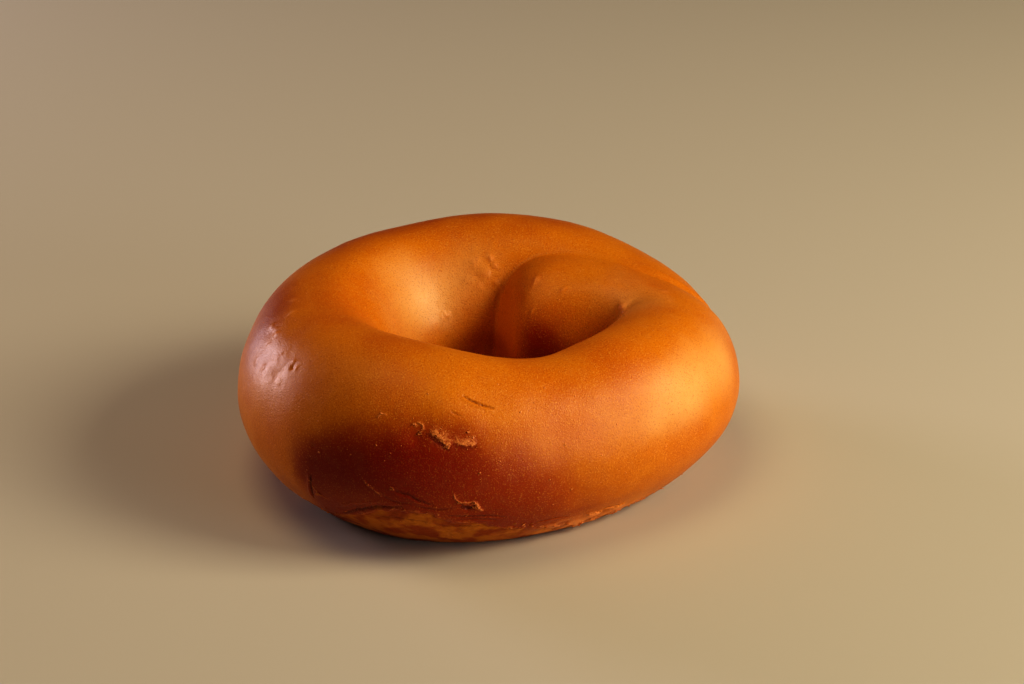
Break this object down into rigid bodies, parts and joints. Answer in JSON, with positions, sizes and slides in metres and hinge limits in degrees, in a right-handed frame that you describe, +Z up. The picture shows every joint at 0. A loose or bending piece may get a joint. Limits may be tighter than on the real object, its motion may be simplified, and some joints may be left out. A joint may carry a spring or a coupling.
{
  "type": "bagel",
  "caption": "Plain hand-rolled bagel, a browned ring of dough whose overlapping rope ends leave a seam and a lobe in the hole.",
  "frame": {"origin": "middle of the underside, on the surface the bagel lies on", "axes": "+Z up through the hole, -Y towards the side with the scabbed and ragged crust, +X towards the side where the two rope ends meet"},
  "size_m": [0.109, 0.1064, 0.0419],
  "materials": {
    "crust": "satin, browned by baking, with a fine grain"
  },
  "bodies": {
    "root": {"bagel": "crust"}
  },
  "joints": []
}
